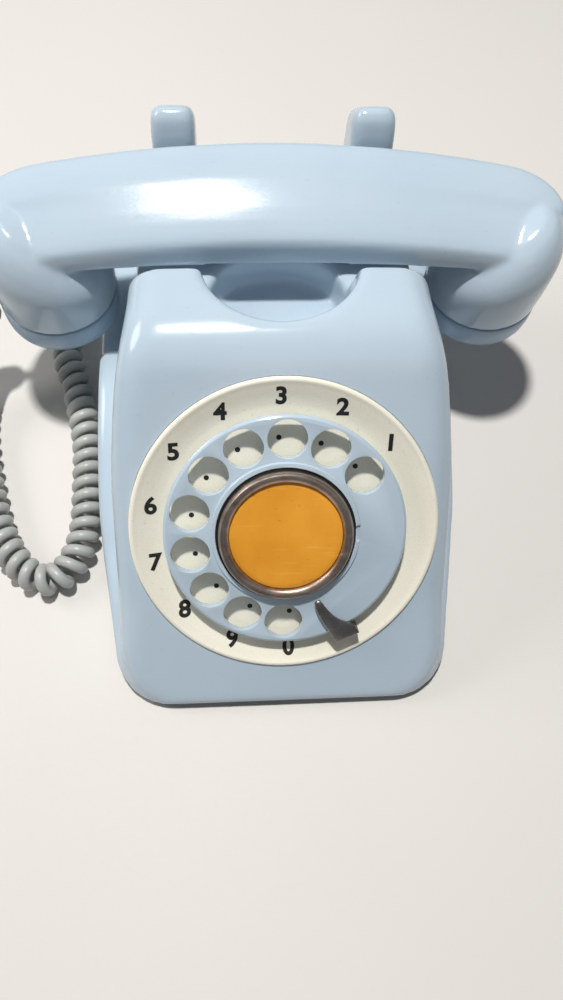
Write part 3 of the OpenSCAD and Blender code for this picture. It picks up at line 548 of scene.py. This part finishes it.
def cup_rows(side):
    rows = []
    for step in range(16):
        t = step / 15
        radius = 25.4 + 1.0 * math.sin(math.pi * min(1, t * 1.3))
        if t > 0.45:
            radius *= math.sqrt(max(0.003, 1 - ((t - 0.45) / 0.55) ** 2.3))
        ring = []
        for k in range(72):
            a = k * 2 * math.pi / 72
            outward = math.cos(a)
            ring.append(Vector((side * (cup_x + 1.5 * t + radius * outward), cup_y + radius * math.sin(a),
                62 + 43 * t + 13 * t * outward * radius / 24.5)) * mm)
        rows.append(ring)
    return rows
join(handset, wrap("cup", cup_rows(-1)), wrap("cup", cup_rows(1)))
modify(handset, "REMESH", mode="VOXEL", voxel_size=0.0011)
modify(handset, "SMOOTH", factor=0.5, iterations=7)
for side in (-1, 1):
    cut(handset, drill(0.0215, 0.055, 0.084, at=(side * cup_x * mm, cup_y * mm), sides=96))
    cut(handset, drill(0.028, 0.055, 0.0621, at=(side * cup_x * mm, cup_y * mm), sides=96))
lead_turn = Matrix.Translation(handset_exit) @ down.to_track_quat("Z", "Y").to_matrix().to_4x4()
cut(handset, drill(0.0035, -0.008, 0.008, turn=lead_turn))
settle(handset, 50)
handset.data.materials.clear()
handset.data.materials.append(finish["blue_plastic"])
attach(handset, "handset")
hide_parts("handset_handle")
print("handset", len(handset.data.polygons), "faces")

# %% The ear and mouth caps
for side, node in ((1, "ear_cap"), (-1, "mouth_cap")):
    cap = turn_on_lathe(node + "_turned", [(r * mm, z * mm) for r, z in (
        (0.001, 49.6), (8, 49.5), (11.5, 49.0), (15, 48.5), (19.5, 48.05), (21.8, 48.1), (23.4, 48.8),
        (24.6, 50.2), (25.3, 52.4), (25.6, 55), (25.7, 58), (25.7, 60.6), (25.3, 61.5), (24.6, 61.9),
        (21.4, 61.9),
        (21.4, 53.5), (20.6, 52.6), (0.001, 52.6))], 96)
    cap_low, cap_high = 0.045, 0.056
    cut(cap, drill(0.001, cap_low, cap_high, sides=12))
    for ring, count in ((6, 6), (11, 10)):
        for k in range(count):
            a = 2 * math.pi * k / count
            cut(cap, drill(0.00095, cap_low, cap_high,
                at=(ring * mm * math.cos(a), ring * mm * math.sin(a)), sides=12))
    cap.location = (side * cup_x * mm, cup_y * mm, 0)
    settle(cap, 35)
    cap.data.materials.append(finish["cap_plastic"])
    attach(cap, "handset")
    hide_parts(node)
print("caps turned")

# %% [markdown]
# ## The dial
# The dial is stacked along its own axis, which leans back with the face. Each round piece is a
# profile spun on the lathe in the dial's own upright space, then turned into place all at once.

# %% The number ring
def at_dial(piece, node, body, slot, sharp=30):
    piece.matrix_world = dial_place @ piece.matrix_world
    settle(piece, sharp)
    piece.data.materials.clear()
    piece.data.materials.append(finish[slot])
    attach(piece, body)
    if node:
        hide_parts(node)
    print(piece.name, len(piece.data.polygons), "faces")

dish = [(17, -2.2), (45, -2.2), (48.6, -2.15), (50.2, -1.75), (52.5, -1.1), (55, -0.25), (57.2, 0.55),
    (58.6, 1.0)]
number_ring = turn_on_lathe("number_ring_dished", [(r * mm, z * mm) for r, z in dish + [
    (59.0, 1.25), (59.5, 1.42), (60.0, 1.4), (60.5, 1.2), (60.85, 0.8), (61.0, 0.3), (61.0, -1.0),
    (57.6, -1.0),
    (57.6, -2.4), (49.5, -3.7), (17, -3.7)]], 160)
at_dial(number_ring, "number_ring", "base", "cream_plastic")

# %% The digits
# Each digit is a text turned into a mesh and laid on the slope of the dish, point by point.
def dish_height(r):
    for (r0, z0), (r1, z1) in zip(dish, dish[1:]):
        if r <= r1:
            return z0 + (z1 - z0) * (r - r0) / (r1 - r0)
    return dish[-1][1]

def lay_on_dish(piece, lift=0.07):
    for vertex in piece.data.vertices:
        r = math.hypot(vertex.co.x, vertex.co.y) / mm
        vertex.co.z = (dish_height(r) + lift) * mm

first_digit, digit_step, digit_ring = 39.9, 25.75, 0.0531
digits = []
for k, figure in enumerate("1234567890"):
    angle = math.radians(first_digit + digit_step * k)
    bpy.ops.object.select_all(action="DESELECT")
    bpy.ops.object.text_add(location=(0, 0, 0))
    text = bpy.context.object
    text.data.body = figure
    text.data.size = 0.0096
    text.data.offset = 0.00034
    text.data.align_x, text.data.align_y = "CENTER", "CENTER"
    text.data.resolution_u = 6
    bpy.ops.object.convert(target="MESH")
    figure_mesh = bpy.context.object
    figure_mesh.location = (digit_ring * math.cos(angle), digit_ring * math.sin(angle), 0)
    bpy.ops.object.transform_apply(location=True, rotation=True, scale=True)
    lay_on_dish(figure_mesh)
    digits.append(figure_mesh)
digits = join(*digits)
digits.name = "dial_digits"
at_dial(digits, None, "base", "black_ink_and_painted_shade")

# %% The dots under the finger holes
first_hole, hole_step, hole_ring, dot_ring = 37.6, 25.67, 0.038, 0.037
dots = []
for k in range(10):
    angle = math.radians(first_hole + 4.5 + hole_step * k)
    bpy.ops.object.select_all(action="DESELECT")
    bpy.ops.mesh.primitive_circle_add(vertices=20, radius=0.00105, fill_type="NGON",
        location=(dot_ring * math.cos(angle), dot_ring * math.sin(angle), 0))
    bpy.ops.object.transform_apply(location=True, rotation=True, scale=True)
    lay_on_dish(bpy.context.object)
    dots.append(bpy.context.object)
dots = join(*dots)
dots.name = "dial_dots"
at_dial(dots, None, "base", "black_ink_and_painted_shade")

# %% The finger wheel
# The wheel is turned, its ten holes are bored, and one bevel rounds every rim at once.
wheel = turn_on_lathe("finger_wheel_bored", [(r * mm, z * mm) for r, z in (
    (4.1, 5.0), (27.4, 5.0), (27.4, 6.2), (28.9, 6.2), (29.3, 5.2), (46.4, 5.0), (47.5, 4.2), (47.5, 3.6),
    (46.6, 1.5), (4.1, 1.5))], 160)
for k in range(10):
    angle = math.radians(first_hole + hole_step * k)
    cut(wheel, drill(0.0077, -0.002, 0.012,
        at=(hole_ring * math.cos(angle), hole_ring * math.sin(angle)), sides=64))
notch = drill(0.0016, 0.0052, 0.012, at=(0.0282, 0), sides=24)
notch.scale = (1, 2.2, 1)
only(notch)
bpy.ops.object.transform_apply(location=True, rotation=True, scale=True)
cut(wheel, notch)

def tidy_flats():
    bpy.ops.mesh.remove_doubles(threshold=0.00002)
    bpy.ops.mesh.dissolve_limited(angle_limit=math.radians(1))

in_edit_mode(wheel, tidy_flats)
modify(wheel, "BEVEL", width=0.0006, segments=3, limit_method="ANGLE", angle_limit=math.radians(32),
    use_clamp_overlap=True)
at_dial(wheel, "finger_wheel", "dial", "blue_plastic")

# %% The centre ring and the card
centre_ring = turn_on_lathe("centre_ring_turned", [(r * mm, z * mm) for r, z in (
    (22.2, 5.1), (22.2, 8.2), (22.4, 8.8), (22.9, 9.3), (23.6, 9.6), (24.6, 9.75), (25.4, 9.6),
    (25.9, 9.1), (26.2, 8.2), (26.3, 7.0), (26.3, 5.1))], 128)
at_dial(centre_ring, "centre_ring", "dial", "ring_steel")
# The thin black ring in the gap between the centre ring and the wheel's collar is painted shade: it stands
# for the shade that falls into the groove.
painted_groove_shade = turn_on_lathe("centre_groove_painted_shade", [(r * mm, z * mm) for r, z in (
    (26.35, 5.05), (26.35, 5.5), (26.8, 5.65), (27.35, 5.5), (27.35, 5.05))], 128)
at_dial(painted_groove_shade, None, "dial", "black_ink_and_painted_shade")
card = turn_on_lathe("number_card_domed", [(r * mm, z * mm) for r, z in (
    (0.001, 7.95), (6, 7.94), (12, 7.9), (17, 7.84), (20, 7.8), (21.6, 7.7), (22.0, 7.5), (22.0, 5.2),
    (0.001, 5.2))], 96)
at_dial(card, "number_card", "dial", "orange_card")

# %% [markdown]
# ## The finger stop
# The stop is a strip of steel, cut to a claw and bent down over the ring's edge. A plane is
# shaped to the claw's outline, extruded to the strip's thickness, and bevelled.

# %% Finger stop
claw = [(31.4, -2.1), (30.8, -1.0), (31.4, 0.5), (34, 1.0), (37, 1.6), (40, 2.6), (42.8, 4.2), (45, 6.4),
    (47, 8.4), (51.4, 9.0), (51.4, -1.0), (49.4, -1.5), (46.5, -1.8), (43.9, -2.1), (40, -2.6), (36.6, -2.8),
    (33.5, -2.6)]
bpy.ops.object.select_all(action="DESELECT")
bpy.ops.mesh.primitive_circle_add(vertices=len(claw), fill_type="NGON")
stop = bpy.context.object
stop.name = "finger_stop_claw"
for vertex, (x, y) in zip(stop.data.vertices, claw):
    vertex.co = (x * mm, y * mm, 0.0062)
in_edit_mode(stop,
    lambda: bpy.ops.mesh.extrude_region_move(TRANSFORM_OT_translate={"value": (0, 0, 0.0014)}),
    lambda: (bpy.ops.mesh.select_all(action="SELECT"), bpy.ops.mesh.normals_make_consistent(inside=False)))
legs = []
for size, place in (((1.6, 9.6, 7.6), (50.7, 4.1, 3.3)), ((4.2, 8.4, 0.9), (52.2, 4.1, -0.05))):
    bpy.ops.object.select_all(action="DESELECT")
    bpy.ops.mesh.primitive_cube_add(size=1, location=Vector(place) * mm, scale=Vector(size) * mm)
    legs.append(bpy.context.object)
join(stop, *legs)
only(stop)
bpy.ops.object.transform_apply(location=True, rotation=True, scale=True)
modify(stop, "BEVEL", width=0.00035, segments=3, limit_method="ANGLE", angle_limit=math.radians(35))
stop.matrix_world = Matrix.Rotation(math.radians(295), 4, "Z")
at_dial(stop, "finger_stop", "base", "stop_steel")

# %% [markdown]
# ## The hook's return spring
# A small tension spring hangs from the hook bracket's deck to the lever, and it closes up as the lever
# swings. It is wound again here as a fine tube.

# %% Hook spring
spring_low, spring_high = 56.3, 67.5
spring_line = [Vector((2.2 * math.cos(i * math.pi / 12), 57 + 2.2 * math.sin(i * math.pi / 12),
    spring_low + (spring_high - spring_low) * i / 120)) * mm for i in range(121)]
spring = wrap("hook_spring_wound", tube_rows(spring_line, 0.0004, 8))
settle(spring, 60)
spring.data.materials.append(finish["spring_steel"])
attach(spring, "base")
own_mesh(spring)
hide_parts("hook_spring")
print("hook spring", len(spring.data.polygons), "faces")

# %% [markdown]
# ## Floor and light
# A plain pale floor catches the shadows. A small lamp high above and a little behind gives the
# glossy moulding its short highlights, a wide one to the left models the sides, and a weak one in
# front opens the shadows. The sky gives an even base.

# %% Floor
bpy.ops.object.select_all(action="DESELECT")
bpy.ops.mesh.primitive_plane_add(size=6, location=(0, 0, -0.0003))
floor = bpy.context.object
floor.name = "floor"
bpy.ops.object.transform_apply(location=True, rotation=True, scale=True)
floor.data.materials.append(make_finish("floor_paint", (0.66, 0.64, 0.61), (0.63, 0.61, 0.58), (0.55, 0.7),
    cloud=3))
print("floor laid", round(floor.dimensions.x, 1), "m wide")

# %% Lamps
def lamp(name, place, aim, size, power, colour=(1, 1, 1)):
    bpy.ops.object.select_all(action="DESELECT")
    bpy.ops.object.light_add(type="AREA", location=place)
    light = bpy.context.object
    light.name = name
    light.rotation_euler = (Vector(aim) - Vector(place)).to_track_quat("-Z", "Y").to_euler()
    light.data.shape = "DISK"
    light.data.size = size
    light.data.energy = power
    light.data.color = colour

lamp("ceiling_lamp", (-0.13, 0.2, 1.6), (0, 0, 0.05), 0.11, 26, (1, 0.98, 0.95))
lamp("side_window", (-1.0, 0.3, 0.8), (0, 0, 0.05), 0.6, 5, (1, 0.98, 0.95))
lamp("front_fill", (0.3, -1.1, 1.4), (0, 0, 0.05), 0.9, 0.8)
world = bpy.data.worlds.new("even_sky")
world.use_nodes = True
world.node_tree.nodes["Background"].inputs["Color"].default_value = (0.86, 0.9, 1.0, 1)
world.node_tree.nodes["Background"].inputs["Strength"].default_value = 0.14
bpy.context.scene.world = world
bpy.context.scene.view_settings.view_transform = "Standard"

# %% [markdown]
# ## The last step
# The dressed telephone should be as big as the mechanical one. The last line brings the scene up to date.

# %% Scene update
bpy.context.view_layer.update()
